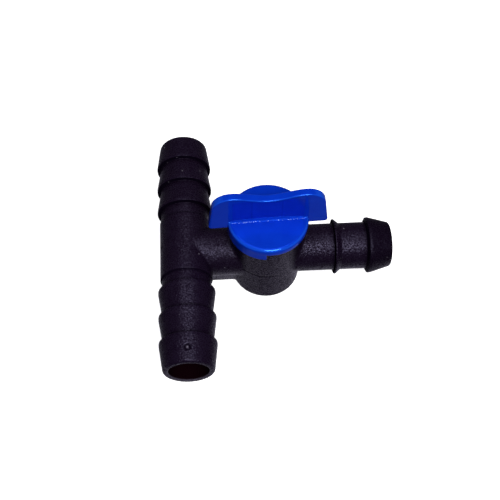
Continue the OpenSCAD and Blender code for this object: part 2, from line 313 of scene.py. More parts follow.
def contour(solid, low, high, cell, pull=0.08):
    """Dual contouring: (vertices, quads) of a solid's surface, with one vertex in each crossed cell."""
    low = np.array(low, float)
    counts = np.round((np.array(high) - low) / cell).astype(int) + 1
    axes = [low[k] + cell * np.arange(counts[k]) for k in (X, Y, Z)]
    d = sample(solid, axes)
    inside = d < 0
    corners, points, normals, flips = [], [], [], []
    for k in (X, Y, Z):
        first = [slice(None)] * 3
        second = [slice(None)] * 3
        first[k], second[k] = slice(None, -1), slice(1, None)
        at = np.argwhere(inside[tuple(first)] != inside[tuple(second)])
        others = [i for i in (X, Y, Z) if i != k]
        at = at[np.all((at[:, others] > 0) & (at[:, others] < counts[others] - 1), axis=1)]
        step = np.eye(3, dtype=int)[k]
        p0 = low + cell * at
        d0, d1 = d[tuple(at.T)], d[tuple((at + step).T)]
        p = edge_crossings(solid, p0, p0 + cell * step, d0, d1)
        a, b = np.eye(3, dtype=int)[(k + 1) % 3], np.eye(3, dtype=int)[(k + 2) % 3]
        corners.append(np.stack([at - a - b, at - b, at, at - a], axis=1))
        points.append(p)
        normals.append(gradient(solid, p))
        flips.append(d0 >= 0)
    corners, points = np.concatenate(corners), np.concatenate(points)
    normals, flips = np.concatenate(normals), np.concatenate(flips)
    ids = np.ravel_multi_index(tuple(np.moveaxis(corners, 2, 0)), tuple(counts - 1))
    cells, quads = np.unique(ids, return_inverse=True)
    quads = quads.reshape(-1, 4)
    quads[flips] = quads[flips][:, ::-1]
    vertices = cell_points(quads, points, normals, len(cells), pull)
    corner = low + cell * np.stack(np.unravel_index(cells, tuple(counts - 1)), axis=1)
    vertices = np.clip(vertices, corner, corner + cell)
    for _ in range(2):
        vertices -= solid(vertices)[:, None] * gradient(solid, vertices)
    return vertices, quads, corner + cell / 2


def cell_points(quads, points, normals, count, pull):
    """For each cell, the point that lies best on the tangent planes of its crossings."""
    owner, source = quads.ravel(), np.repeat(np.arange(len(points)), 4)
    weight = np.bincount(owner, minlength=count).astype(float)

    def total(values):
        return np.bincount(owner, values[source], minlength=count)

    centre = np.stack([total(points[:, k]) for k in (X, Y, Z)], axis=1) / weight[:, None]
    planes = np.sum(normals * points, axis=1)
    matrix = np.empty((count, 3, 3))
    right = np.empty((count, 3))
    for i in (X, Y, Z):
        right[:, i] = total(normals[:, i] * planes)
        for j in (X, Y, Z):
            matrix[:, i, j] = total(normals[:, i] * normals[:, j])
    right -= np.einsum("nij,nj->ni", matrix, centre)
    matrix += (pull * weight)[:, None, None] * np.eye(3)
    return centre + np.linalg.solve(matrix, right[:, :, None])[:, :, 0]


def rounded_outline(corners, step=1.6, arc_steps=4):
    """(radius, distance) corners with roundings, as points and outward normals of a smooth line."""
    c = np.array([[r, s] for r, s, _ in corners], float)
    line, normals = [], []

    def add(point, normal):
        line.append(point)
        normals.append(normal / np.linalg.norm(normal))

    def outward(tangent):
        return np.array([tangent[1], -tangent[0]])

    for i, (_, _, rounding) in enumerate(corners):
        if i in (0, len(corners) - 1):
            other = c[1] - c[0] if i == 0 else c[-1] - c[-2]
            start = c[i]
            if i:
                fill_straight(line, normals, start, step)
            add(start, outward(other))
            continue
        before, after = c[i] - c[i - 1], c[i + 1] - c[i]
        before, after = before / np.linalg.norm(before), after / np.linalg.norm(after)
        turn = math.acos(float(np.clip(before @ after, -1, 1)))
        reach = rounding * math.tan(turn / 2)
        start = c[i] - before * reach
        fill_straight(line, normals, start, step)
        side = np.sign(before[0] * after[1] - before[1] * after[0])
        centre = start + side * rounding * np.array([-before[1], before[0]])
        for k in range(arc_steps + 1):
            angle = side * turn * k / arc_steps
            cos, sin = math.cos(angle), math.sin(angle)
            spoke = start - centre
            point = centre + np.array([cos * spoke[0] - sin * spoke[1], sin * spoke[0] + cos * spoke[1]])
            add(point, (point - centre) * side)
    return np.array(line), np.array(normals)


def fill_straight(line, normals, end, step):
    """Points along a straight stretch, so that its faces aren't long slivers."""
    if not line:
        return
    start = line[-1]
    length = np.linalg.norm(end - start)
    tangent = (end - start) / max(length, 1e-9)
    count = int(length / step)
    for k in range(1, count):
        line.append(start + (end - start) * k / count)
        normals.append(np.array([tangent[1], -tangent[0]]))


def revolve(line, normals, axis, sign, centre, angles):
    """A surface turned about an axis: (vertices, normals, quads, rings), rings as rows of indices."""
    i, j = [k for k in (X, Y, Z) if k != axis]
    vertices = np.zeros((len(line), len(angles), 3))
    out = np.zeros_like(vertices)
    for data, source in ((vertices, line), (out, normals)):
        data[:, :, axis] = sign * source[:, 1, None]
        data[:, :, i] = source[:, 0, None] * np.cos(angles)
        data[:, :, j] = source[:, 0, None] * np.sin(angles)
    vertices += centre
    index = np.arange(len(line) * len(angles)).reshape(len(line), -1)
    a, b = index[:-1], index[1:]
    quads = np.stack([a, np.roll(a, -1, 1), np.roll(b, -1, 1), b], axis=2).reshape(-1, 4)
    return vertices.reshape(-1, 3), out.reshape(-1, 3), quads, index


class Surface:
    """Vertices, normals and faces that are gathered into one closed mesh."""

    def __init__(self):
        self.vertices, self.normals, self.faces, self.count = [], [], [], 0

    def add(self, vertices, normals, faces):
        self.vertices.append(vertices)
        self.normals.append(normals)
        self.faces += (np.asarray(faces) + self.count).tolist()
        self.count += len(vertices)
        return self.count - len(vertices)

    def stitch(self, loop, loop_angles, ring, ring_angles):
        """A strip of triangles between two rings of vertices about the same axis."""
        a, b = loop[np.argsort(loop_angles)], ring[np.argsort(ring_angles)]
        ta, tb = np.sort(loop_angles), np.sort(ring_angles)
        i = j = 0
        while i < len(a) or j < len(b):
            next_a = ta[i + 1] if i + 1 < len(a) else ta[0] + 2 * math.pi
            next_b = tb[j + 1] if j + 1 < len(b) else tb[0] + 2 * math.pi
            here_a, here_b = int(a[i % len(a)]), int(b[j % len(b)])
            if j >= len(b) or (i < len(a) and next_a <= next_b):
                self.faces.append([here_a, int(a[(i + 1) % len(a)]), here_b])
                i += 1
            else:
                self.faces.append([here_b, here_a, int(b[(j + 1) % len(b)])])
                j += 1

    def mesh(self, name):
        v, n = np.concatenate(self.vertices), np.concatenate(self.normals)
        for k, face in enumerate(self.faces):
            if len(face) == 3:
                a, b, c = v[face]
                if np.cross(b - a, c - a) @ n[face].sum(axis=0) < 0:
                    self.faces[k] = face[::-1]
        data = bpy.data.meshes.new(name)
        data.from_pydata((v * MM).tolist(), [], self.faces)
        data.polygons.foreach_set("use_smooth", np.ones(len(self.faces), bool))
        data.update()
        data.normals_split_custom_set_from_vertices(n.tolist())
        return data


def open_edges(quads):
    """Vertices on the rim of a set of quads."""
    edges = np.sort(np.stack([quads, np.roll(quads, -1, axis=1)], axis=2).reshape(-1, 2), axis=1)
    rim, uses = np.unique(edges, axis=0, return_counts=True)
    return np.unique(rim[uses == 1])


def oriented(quads, vertices, normals):
    """Quads turned so that they face the way of their normals."""
    a, b, c = (vertices[quads[:, k]] for k in range(3))
    face = np.cross(b - a, c - a)
    wrong = np.sum(face * normals[quads].sum(axis=1), axis=1) < 0
    quads[wrong] = quads[wrong][:, ::-1]
    return quads


# ---- body ----

# Past these planes the body is revolved, and a strip of triangles joins the two kinds of mesh
RUN_CUT = 8.75
BRANCH_CUT = STEM_X + 12.65
STITCH_GAP = 0.75 * BODY_CELL


def chamber_solid():
    """The upright cylinder that holds the ball, with the neck on top."""
    lower = meet(tube(Z, CHAMBER_R, STEM), above(Z, CHAMBER_BOTTOM), rounding=CHAMBER_ROUND)
    return meet(lower, below(Z, NECK_TOP), rounding=EDGE_ROUND)


def web_solid():
    """The drafted block between the stub's underside and the chamber."""

    def sides(p):
        return (np.abs(p[:, Y]) - WEB_HALF_W - p[:, Z] * math.tan(WEB_DRAFT)) * math.cos(WEB_DRAFT)

    section = meet(sides, above(Z, -WEB_DEPTH), rounding=WEB_ROUND)
    return meet(section, below(Z, 0), above(X, RUN_TUBE_R - 2 * OVERLAP), below(X, STEM_X))


def stop_solids():
    """The two ribs that the handle's tab meets when it is open and closed."""
    open_stop = TAB_START + TAB_SWEEP + STOP_PLAY
    closed_stop = TAB_START - QUARTER_TURN - STOP_PLAY - STOP_SWEEP
    return [sector(CHAMBER_R - OVERLAP, STOP_R, STOP_Z, NECK_TOP, start, STOP_SWEEP, EDGE_ROUND)
            for start in (open_stop, closed_stop)]


def body_solid():
    """The middle of the body; its ends are revolved instead."""
    run = tube(Y, RUN_TUBE_R)
    stub = meet(tube(X, STUB_R), above(X, 0), below(X, STEM_X))
    branch = meet(tube(X, BRANCH_TUBE_R), above(X, STEM_X))
    outside = join(blend(run, stub, TEE_FILLET), branch)
    outside = blend(outside, web_solid(), WEB_FILLET)
    outside = blend(outside, chamber_solid(), CHAMBER_FILLET)
    outside = join(outside, *stop_solids())
    pocket = meet(tube(X, POCKET_R), above(X, STEM_X - POCKET_END), below(X, STEM_X + POCKET_END))
    hollow = join(
        tube(Y, RUN_BORE_R),
        meet(tube(X, BRANCH_BORE_R), above(X, 0)),
        pocket,
        meet(tube(Z, CAVITY_R, STEM), above(Z, CAVITY_FLOOR)),
        meet(tube(Z, NECK_BORE_R, STEM), above(Z, BONNET_SEAT_Z)),
    )
    return cut(outside, hollow, rounding=EDGE_ROUND)


def run_end_outline():
    """(radius, distance from the origin, rounding) of each corner of the run's ends, outside then inside."""
    start = RUN_CUT + STITCH_GAP
    corners = [(RUN_TUBE_R, start, 0), (RUN_TUBE_R, RUN_TUBE_HALF, STEP_ROUND),
               (BARB_ROOT_R, RUN_TUBE_HALF + BARB_BACK, ROOT_ROUND)]
    for k in range(BARB_COUNT):
        crest = BARB_FIRST + k * BARB_PITCH
        corners += [(BARB_ROOT_R, crest - BARB_BACK, ROOT_ROUND), (BARB_R, crest, CREST_ROUND),
                    (BARB_R, crest + BARB_LAND, CREST_ROUND)]
    return corners + [
        (NOSE_R, RUN_HALF, NOSE_ROUND),
        (RUN_BORE_R + MOUTH_CHAMFER, RUN_HALF, MOUTH_ROUND),
        (RUN_BORE_R, RUN_HALF - MOUTH_CHAMFER, MOUTH_ROUND),
        (RUN_BORE_R, start, 0),
    ]


def branch_end_outline():
    start = BRANCH_CUT + STITCH_GAP
    return [
        (BRANCH_TUBE_R, start, 0),
        (BRANCH_TUBE_R, COLLAR_AT - BARB_BACK, ROOT_ROUND),
        (COLLAR_R, COLLAR_AT, CREST_ROUND),
        (COLLAR_R, COLLAR_AT + BARB_BACK, STEP_ROUND),
        (BRANCH_TUBE_R, COLLAR_AT + BARB_BACK + COLLAR_SLOPE, COLLAR_ROUND),
        (BRANCH_TUBE_R, BRANCH_BARB_AT - BRANCH_BARB_BACK, ROOT_ROUND),
        (BARB_R, BRANCH_BARB_AT, CREST_ROUND),
        (BARB_R, BRANCH_BARB_AT + BARB_LAND, CREST_ROUND),
        (BRANCH_NOSE_R, BRANCH_END, NOSE_ROUND),
        (BRANCH_BORE_R + MOUTH_CHAMFER, BRANCH_END, MOUTH_ROUND),
        (BRANCH_BORE_R, BRANCH_END - MOUTH_CHAMFER, MOUTH_ROUND),
        (BRANCH_BORE_R, start, 0),
    ]


def body_mesh():
    solid = body_solid()
    beyond_cut = RUN_CUT + 2.25
    low = (-BARB_R - OVERLAP, -beyond_cut, CHAMBER_BOTTOM - 0.7)
    high = (BRANCH_CUT + 1.1, beyond_cut, NECK_TOP + 0.65)
    vertices, quads, centres = contour(solid, low, high, BODY_CELL)
    of_run = (np.abs(centres[:, Y]) > RUN_CUT) & (centres[:, X] < BARB_R + 1)
    over = of_run | (centres[:, X] > BRANCH_CUT)
    quads = quads[~over[quads].any(axis=1)]
    used, quads = np.unique(quads, return_inverse=True)
    quads, vertices = quads.reshape(-1, 4), vertices[used]
    surface = Surface()
    surface.add(vertices, gradient(solid, vertices, NORMAL_STEP), quads)
    rim = open_edges(quads)
    angles = np.linspace(-math.pi, math.pi, RING_STEPS, endpoint=False)
    ends = [(Y, 1, run_end_outline()), (Y, -1, run_end_outline()), (X, 1, branch_end_outline())]
    for axis, sign, outline in ends:
        line, normals = rounded_outline(outline)
        v, n, q, rings = revolve(line, normals, axis, sign, (0, 0, 0), angles)
        base = surface.add(v, n, oriented(q, v, n))
        i, j = [k for k in (X, Y, Z) if k != axis]
        cut_at = BRANCH_CUT if axis == X else RUN_CUT
        here = rim[np.abs(vertices[rim, axis] - sign * cut_at) < 2 * BODY_CELL]
        middle = (outline[0][0] + outline[-1][0]) / 2
        reach = np.hypot(vertices[here, i], vertices[here, j])
        for ring, chosen in ((rings[0], reach > middle), (rings[-1], reach < middle)):
            loop = here[chosen]
            turn = np.arctan2(vertices[loop, j], vertices[loop, i])
            surface.stitch(loop, turn, ring + base, angles)
    return surface.mesh("body_moulding")


# ---- handle, modelled in its own frame: the bar along X, before its skew about the stem ----


def arc_points(centre, radius, start, end, steps=12):
    t = np.radians(np.linspace(start, end, steps + 1))
    return np.stack([centre[0] + radius * np.cos(t), centre[1] + radius * np.sin(t)], axis=1)


def bar_outline():
    """The bar seen from the front, as (distance from the stem, height) points."""
    shoulder = BAR_HALF - BAR_LEAN - BAR_ROUND
    head, foot = BAR_TOP - BAR_ROUND, BAR_FOOT_Z + BAR_FOOT_ROUND
    x = np.linspace(shoulder, -shoulder, 25)[1:-1]
    dip = BAR_TOP - BAR_DIP * (1 + np.cos(math.pi * x / shoulder)) / 2
    return np.concatenate([
        arc_points((BAR_HALF - BAR_FOOT_ROUND, foot), BAR_FOOT_ROUND, -90, 0, 6),
        arc_points((shoulder, head), BAR_ROUND, 0, 90),
        np.stack([x, dip], axis=1),
        arc_points((-shoulder, head), BAR_ROUND, 90, 180),
        arc_points((BAR_FOOT_ROUND - BAR_HALF, foot), BAR_FOOT_ROUND, 180, 270, 6),
    ])


def bar_solid():
    """The bar that fingers turn, with a recess in each face."""
    outline = bar_outline()
    slope = (BAR_FOOT_T - BAR_HEAD_T) / 2 / (BAR_TOP - BAR_FOOT_Z)

    def face(p, drop=0.0):
        return outline_distance(outline, p[:, X] - STEM_X, p[:, Z] + drop)

    def sides(p):
        half = BAR_FOOT_T / 2 - slope * (p[:, Z] - BAR_FOOT_Z)
        return (np.abs(p[:, Y]) - half) / math.hypot(1, slope)

    def recess(p):
        x = np.abs(p[:, X] - STEM_X)
        face_y = BAR_HEAD_T / 2
        floor = face_y - RECESS_DEPTH
        stations = [RECESS_FACET, RECESS_HALF - RECESS_SLOPE, RECESS_HALF]
        levels = [floor, floor + RECESS_RISE * RECESS_DEPTH, face_y]
        depth = np.interp(x, stations, levels) - np.abs(p[:, Y])
        foot = DISC_TOP + RECESS_FOOT - p[:, Z]
        return np.maximum.reduce([depth, x - RECESS_HALF, foot, face(p, RECESS_RIM)])

    return cut(meet(face, sides, rounding=BAR_EDGE), recess, rounding=RECESS_ROUND)


def handle_solid():
    """The whole handle, apart from its skew."""
    disc = meet(tube(Z, DISC_R, STEM), below(Z, DISC_TOP), rounding=DISC_ROUND)
    disc = meet(disc, above(Z, DISC_BOTTOM), rounding=EDGE_ROUND)
    solid = blend(disc, bar_solid(), BAR_FILLET)
    tab = sector(TAB_IN_R, TAB_OUT_R, TAB_BOTTOM, DISC_BOTTOM + OVERLAP,
                 TAB_START - HANDLE_SKEW, TAB_SWEEP, EDGE_ROUND)
    boss = meet(tube(Z, BOSS_R, STEM), above(Z, BOSS_FOOT), below(Z, DISC_BOTTOM + OVERLAP),
                rounding=BOSS_ROUND)
    square = [lambda p: np.abs(p[:, X] - STEM_X) - SOCKET_HALF, lambda p: np.abs(p[:, Y]) - SOCKET_HALF]
    socket = meet(*square, above(Z, SOCKET_FOOT), below(Z, SOCKET_TOP))
    mouth = meet(tube(Z, BOSS_MOUTH_R, STEM), below(Z, SOCKET_FOOT + BOSS_ROUND))
    return cut(join(solid, tab, boss), join(socket, mouth), rounding=BOSS_ROUND)


def handle_mesh():
    solid = handle_solid()
    margin = 4 * HANDLE_CELL
    low = (STEM_X - BAR_HALF - margin, -DISC_R - margin, TAB_BOTTOM - margin)
    high = (STEM_X + BAR_HALF + margin, DISC_R + margin, BAR_TOP + margin)
    vertices, quads, _ = contour(solid, low, high, HANDLE_CELL)
    normals = gradient(solid, vertices, NORMAL_STEP)
    turn = np.array(Matrix.Rotation(math.radians(HANDLE_SKEW), 3, "Z"))
    surface = Surface()
    surface.add((vertices - STEM) @ turn.T + STEM, normals @ turn.T, quads)
    return surface.mesh("handle_moulding")


# ---- materials ----

# Linear colours; a pair is the two ends of a slow mottle
BODY_BLACK = (0.0045, 0.0019, 0.0070), (0.0066, 0.0035, 0.0105)
# Painted shade in crevices and corners
PAINTED_CREVICE_SHADE = (0.0012, 0.0005, 0.0016)
# Painted shade on the branch's end barb
PAINTED_NOSE_SHADE = (0.0020, 0.0008, 0.0032)
# Painted shade in the run's bore
PAINTED_BORE_SHADE = (0.0042, 0.0007, 0.0018)
# Painted shade in the mould's marks and on the steps' faces
PAINTED_MARK_SHADE = (0.002, 0.001, 0.004)
DUST_GREY = (0.14, 0.13, 0.16)
# Painted highlight on the gate mark's nib
PAINTED_NIB_HIGHLIGHT = (0.09, 0.08, 0.11)
# Painted highlight round the run's mouths
PAINTED_LIP_HIGHLIGHT = (0.062, 0.055, 0.075)
BLACK_GLOSS = (0.70, 0.64, 1.0)
HANDLE_BLUE = (0.0013, 0.025, 0.40), (0.0016, 0.030, 0.44)
# Painted shade in the finger recesses
PAINTED_RECESS_SHADE = (0.0018, 0.012, 0.36)
# Painted shade along the recesses' creases
PAINTED_CREASE_SHADE = (0.0008, 0.012, 0.24)
# Painted highlight on the bar's upper edges and the disc's rim
PAINTED_EDGE_HIGHLIGHT = (0.006, 0.075, 0.62)
PALE_SPECK_BLUE = (0.25, 0.38, 0.85)
BLUE_GLOSS = (0.2, 0.8, 1.0)
BALL_WHITE = (0.80, 0.80, 0.76)
SEAT_WHITE = (0.86, 0.86, 0.84)
RUBBER_BLACK = (0.008, 0.008, 0.009), (0.02, 0.02, 0.021)
FLOOR_WHITE = (0.9, 0.9, 0.9), (0.92, 0.92, 0.92)

# Keeps the pale floor near white under the object, as the photographer's lightbox does
FLOOR_GLOW = 0.62

# The mould's marks on the body: its parting line, a gate mark on the front end barb, which is a nib in
# a sunk ring, and an ejector's pit; the marks get painted shade, and the nib a painted highlight
CHAMBER_LINE_Z = 1.3
GATE_MARK = (0, -(BARB_LAST + 4.3), BARB_R)
GATE_RING_R = 0.75
PIT = (-6.6, 0, 3.2)
MARK_DEPTH = 0.12

# Patterns, in cells per millimetre
PIT_SCALE = 2.2
GRAIN_SCALE = 2.0
SPARKLE_SCALE = 2.9
MOTTLE_SCALE = 0.5
GLOSS_SCALE = 0.16
DUST_SCALE = 0.28
FLOW_SCALE = 0.22
RUB_SCALE = 1.9
SPECK_SCALE = 2.6
CLOUD_SCALE = 0.7
RUBBER_SCALE = 6.0
RUBBER_DUST_SCALE = 3.0
FLOOR_SCALE = 0.02

# How far from a corner the painted crevice shade on the black plastic reaches
CREVICE_REACH = 1.8


def material(name):
    mat = bpy.data.materials.new(name)
    mat.use_nodes = True
    nodes = mat.node_tree.nodes
    nodes.clear()
    shader = nodes.new("ShaderNodeBsdfPrincipled")
    output = nodes.new("ShaderNodeOutputMaterial")
    mat.node_tree.links.new(shader.outputs[0], output.inputs["Surface"])
    return mat, mat.node_tree, shader


def node(tree, kind, links=(), **values):
    """A shader node with its inputs set by name, or linked to other nodes' outputs."""
    n = tree.nodes.new("ShaderNode" + kind)
    for key, value in values.items():
        if hasattr(n, key):
            setattr(n, key, value)
        else:
            n.inputs[key.replace("_", " ")].default_value = value
    for source, target in links:
        tree.links.new(source, n.inputs[target])
    return n


def put(tree, socket, value):
    """Sets a socket to a number, a colour or another node's output."""
    if hasattr(value, "links"):
        tree.links.new(value, socket)
    elif isinstance(value, tuple):
        socket.default_value = (*value, 1)
    else:
        socket.default_value = value


def set_inputs(tree, shader, **values):
    """Sets the shader's inputs by name."""
    for key, value in values.items():
        put(tree, shader.inputs[key.replace("_", " ")], value)


def millimetres(tree):
    """Object coordinates in millimetres."""
    coordinates = tree.nodes.new("ShaderNodeTexCoord")
    return node(tree, "Mapping", [(coordinates.outputs["Object"], "Vector")],
                Scale=(1 / MM, 1 / MM, 1 / MM)).outputs[0]


def split(tree, vector):
    parts = node(tree, "SeparateXYZ", [(vector, "Vector")])
    return [parts.outputs[axis] for axis in "XYZ"]


def noise(tree, where, scale, detail=3.0, roughness=0.6):
    return node(tree, "TexNoise", [(where, "Vector")], Scale=scale, Detail=detail,
                Roughness=roughness).outputs["Fac"]


def cells(tree, where, scale):
    """Distance to the nearest of a cloud of points."""
    return node(tree, "TexVoronoi", [(where, "Vector")], Scale=scale, Randomness=1.0).outputs["Distance"]


def remap(tree, value, low, high, to_low, to_high):
    n = node(tree, "MapRange", [(value, "Value")])
    for key, number in (("From Min", low), ("From Max", high), ("To Min", to_low), ("To Max", to_high)):
        n.inputs[key].default_value = number
    return n.outputs[0]


def rise(tree, value, low, high):
    """0 below the low number and 1 above the high one."""
    return remap(tree, value, low, high, 0, 1)


def fall(tree, value, low, high):
    """1 below the low number and 0 above the high one."""
    return remap(tree, value, low, high, 1, 0)


def mottle(tree, pattern):
    """A noise's middle range, stretched from 0 to 1."""
    return rise(tree, pattern, 0.3, 0.7)


def bump(tree, height, depth, strength=1.0, under=None):
    """A bump of that real depth in millimetres, on top of another one."""
    links = [(height, "Height")] + ([(under, "Normal")] if under else [])
    return node(tree, "Bump", links, Strength=strength, Distance=depth * MM).outputs[0]


def mix(tree, factor, first, second):
    """The first colour where the factor is 0, the second where it is 1."""
    n = node(tree, "Mix", data_type="RGBA")
    for socket, value in zip((n.inputs[0], n.inputs[6], n.inputs[7]), (factor, first, second)):
        put(tree, socket, value)
    return n.outputs[2]


def maths(tree, operation, first, second=0.0):
    """A Math node's output; each operand is a number or another node's output."""
    n = node(tree, "Math", operation=operation)
    for socket, value in zip(n.inputs, (first, second)):
        put(tree, socket, value)
    return n.outputs[0]


def product(tree, *values):
    result = values[0]
    for value in values[1:]:
        result = maths(tree, "MULTIPLY", result, value)
    return result


def largest(tree, *values):
    result = values[0]
    for value in values[1:]:
        result = maths(tree, "MAXIMUM", result, value)
    return result


def minus(tree, first, second):
    return maths(tree, "SUBTRACT", first, second)


def absolute(tree, value):
    return maths(tree, "ABSOLUTE", value)


def distance(tree, where, point, flatten=(1, 1, 1)):
    """Distance from a point, leaving out the axes that flatten sets to 0."""
    offset = node(tree, "VectorMath", [(where, 0)], operation="SUBTRACT")
    offset.inputs[1].default_value = point
    scaled = node(tree, "VectorMath", [(offset.outputs[0], 0)], operation="MULTIPLY")
    scaled.inputs[1].default_value = flatten
    return node(tree, "VectorMath", [(scaled.outputs[0], 0)], operation="LENGTH").outputs["Value"]


def off_stem(tree, where):
    return distance(tree, where, STEM, (1, 1, 0))


def off_run_axis(tree, where):
    return distance(tree, where, (0, 0, 0), (1, 0, 1))


def line_mask(tree, value, at, half_width):
    """1 where the value is at that number, falling to 0 at the half width from it."""
    return fall(tree, absolute(tree, minus(tree, value, at)), 0, half_width)


def painted_step_shade(tree, where):
    """The upright faces of the barbs' and the collar's steps, where shade is painted."""
    upright, fade, strength = (0.6, 0.9), 0.2, 0.85
    x, y, _ = split(tree, where)
    facing = [absolute(tree, part) for part in split(tree, node(tree, "NewGeometry").outputs["Normal"])]
    along_run = absolute(tree, y)
    run_step = product(
        tree, rise(tree, facing[Y], *upright),
        rise(tree, along_run, RUN_TUBE_HALF - fade, RUN_TUBE_HALF),
        fall(tree, along_run, RUN_HALF - 2, RUN_HALF - 2 + fade),
        fall(tree, x, BARB_R, BARB_R + 0.5))
    out_step = product(
        tree, rise(tree, facing[X], *upright),
        rise(tree, x, COLLAR_AT - 1, COLLAR_AT - 1 + fade),
        fall(tree, x, BRANCH_END - 2, BRANCH_END - 2 + fade))
    return product(tree, largest(tree, run_step, out_step), strength)


def mould_marks_and_shade(tree, where):
    """(height, painted shade, nib) of the marks that the mould leaves on the body; the marks and the steps' faces
    get painted shade.
    """
    x, y, z = split(tree, where)
    on_chamber = line_mask(tree, off_stem(tree, where), CHAMBER_R, 0.6)
    fading = remap(tree, x, STEM_X - 2, STEM_X + 4, 1, 0.25)
    chamber_line = product(tree, line_mask(tree, z, CHAMBER_LINE_Z, 0.4), on_chamber, fading)
    tube_line = product(tree, line_mask(tree, z, 0, 0.1), minus(tree, 1, on_chamber))
    off_gate = distance(tree, where, GATE_MARK, (1, 1, 0))
    on_top = rise(tree, z, 0, 1)
    ring = product(tree, line_mask(tree, off_gate, GATE_RING_R, 0.42), on_top)
    nib = product(tree, fall(tree, off_gate, 0.1, 0.45), on_top)
    pit = fall(tree, distance(tree, where, PIT), 0.4, 0.8)
    on_run = remap(tree, off_run_axis(tree, where), RUN_TUBE_R + 0.1, BARB_R, 0.9, 0)
    shoulder = product(tree, line_mask(tree, absolute(tree, y), RUN_TUBE_HALF + 0.1, 0.45), on_run)
    # The marks' painted shade, which on the parting line fades towards the right
    painted_shade = largest(tree, ring, pit, chamber_line, shoulder)
    height = maths(tree, "ADD", product(tree, painted_shade, -1), product(tree, tube_line, 0.3))
    return maths(tree, "ADD", height, nib), largest(tree, painted_shade, painted_step_shade(tree, where)), nib


def lip_highlight(tree, where):
    """A thin ring round each mouth of the run, where a paler colour is painted as a highlight."""
    at_end = rise(tree, absolute(tree, split(tree, where)[Y]), RUN_HALF - 0.5, RUN_HALF - 0.2)
    return product(tree, line_mask(tree, off_run_axis(tree, where), RUN_BORE_R + 0.15, 0.3), at_end)


def shaded_bore(tree, where):
    """1 on the walls of the run's bore, where a darker, redder black is painted as shade and the shine is taken
    away.
    """
    return fall(tree, off_run_axis(tree, where), RUN_BORE_R, RUN_BORE_R + 0.1)


def shaded_nose(tree, where):
    """1 on the branch's end barb, where a darker black is painted as shade and the shine is cut."""
    return rise(tree, split(tree, where)[X], BRANCH_BARB_AT - 1.5, BRANCH_BARB_AT - 0.5)


def black_plastic(name, grain_depth, rough):
    """Black moulded plastic with a spark-eroded grain and the marks of its mould, with painted shade in its
    crevices, marks, step faces, bore and end barb, and painted highlights on the nib and the lips.
    """
    mat, tree, shader = material(name)
    where = millimetres(tree)
    # Ambient occlusion: near corners the colour gets painted shade and the shine is cut
    open_sky = node(tree, "AmbientOcclusion", Distance=CREVICE_REACH * MM, samples=8).outputs["AO"]
    exposed = remap(tree, open_sky, 0.55, 0.95, 0.05, 1)
    relief, painted_shade, nib = mould_marks_and_shade(tree, where)
    nose, bore = shaded_nose(tree, where), shaded_bore(tree, where)
    dust = product(tree, fall(tree, cells(tree, where, DUST_SCALE), 0.03, 0.06), exposed)
    colour = mix(tree, mottle(tree, noise(tree, where, MOTTLE_SCALE, 4)), *BODY_BLACK)
    # Painted shade on the branch's end barb
    colour = mix(tree, product(tree, nose, 0.6), colour, PAINTED_NOSE_SHADE)
    # Painted shade in crevices and corners
    colour = mix(tree, exposed, PAINTED_CREVICE_SHADE, colour)
    # Painted shade in the mould's marks and on the steps' faces
    colour = mix(tree, painted_shade, colour, PAINTED_MARK_SHADE)
    colour = mix(tree, dust, colour, DUST_GREY)
    # Painted shade in the run's bore
    colour = mix(tree, bore, colour, PAINTED_BORE_SHADE)
    # Painted highlight on the gate mark's nib
    colour = mix(tree, nib, colour, PAINTED_NIB_HIGHLIGHT)
    # Painted highlight round the run's mouths
    colour = mix(tree, product(tree, lip_highlight(tree, where), 0.9), colour, PAINTED_LIP_HIGHLIGHT)
    normal = bump(tree, cells(tree, where, PIT_SCALE), grain_depth)
    normal = bump(tree, noise(tree, where, GRAIN_SCALE, 2), grain_depth * 3, 1.0, normal)
    normal = bump(tree, relief, MARK_DEPTH, 1.0, normal)
    sparkle = remap(tree, noise(tree, where, SPARKLE_SCALE, 1, 0.5), 0.38, 0.62, 0.01, 0.28)
    # Less shine on the end barb and none in the bore, as part of their painted shade
    smooth = largest(tree, product(tree, nose, 0.45), bore)
    broad = noise(tree, where, GLOSS_SCALE, 3, 0.55)
    set_inputs(tree, shader, Base_Color=colour, Normal=normal, Specular_Tint=BLACK_GLOSS,
               Roughness=remap(tree, broad, 0.3, 0.7, rough - 0.05, rough + 0.07),
               Specular_IOR_Level=product(tree, sparkle, minus(tree, exposed, painted_shade),
                                          minus(tree, 1, smooth)))
    return mat


def foot_specks(tree, where):
    """Pale specks along the front foot of the bar."""
    skew = math.radians(HANDLE_SKEW)
    turned = node(tree, "Mapping", [(where, "Vector")], vector_type="POINT")
    turned.inputs["Rotation"].default_value[Z] = -skew
    turned.inputs["Location"].default_value = (0, STEM_X * math.sin(skew), 0)
    x, y, z = split(tree, turned.outputs[0])
    on_disc = fall(tree, absolute(tree, minus(tree, x, STEM_X)), DISC_R - 1.6, DISC_R - 1.2)
    foot = product(tree, line_mask(tree, y, -BAR_FOOT_T / 2, 0.3), line_mask(tree, z, DISC_TOP, 0.25))
    fewer_on_right = remap(tree, x, STEM_X - DISC_R / 2, STEM_X, 0, 0.06)
    grains = noise(tree, where, SPECK_SCALE, 1, 0.5)
    return product(tree, foot, on_disc, rise(tree, minus(tree, grains, fewer_on_right), 0.52, 0.60))


def between_disc_and_rim(tree, z):
    """1 at the heights of the finger recesses."""
    rim = BAR_TOP - BAR_DIP - RECESS_RIM
    return product(tree, rise(tree, z, DISC_TOP + 0.3, DISC_TOP + 0.6), fall(tree, z, rim, rim + 0.5))


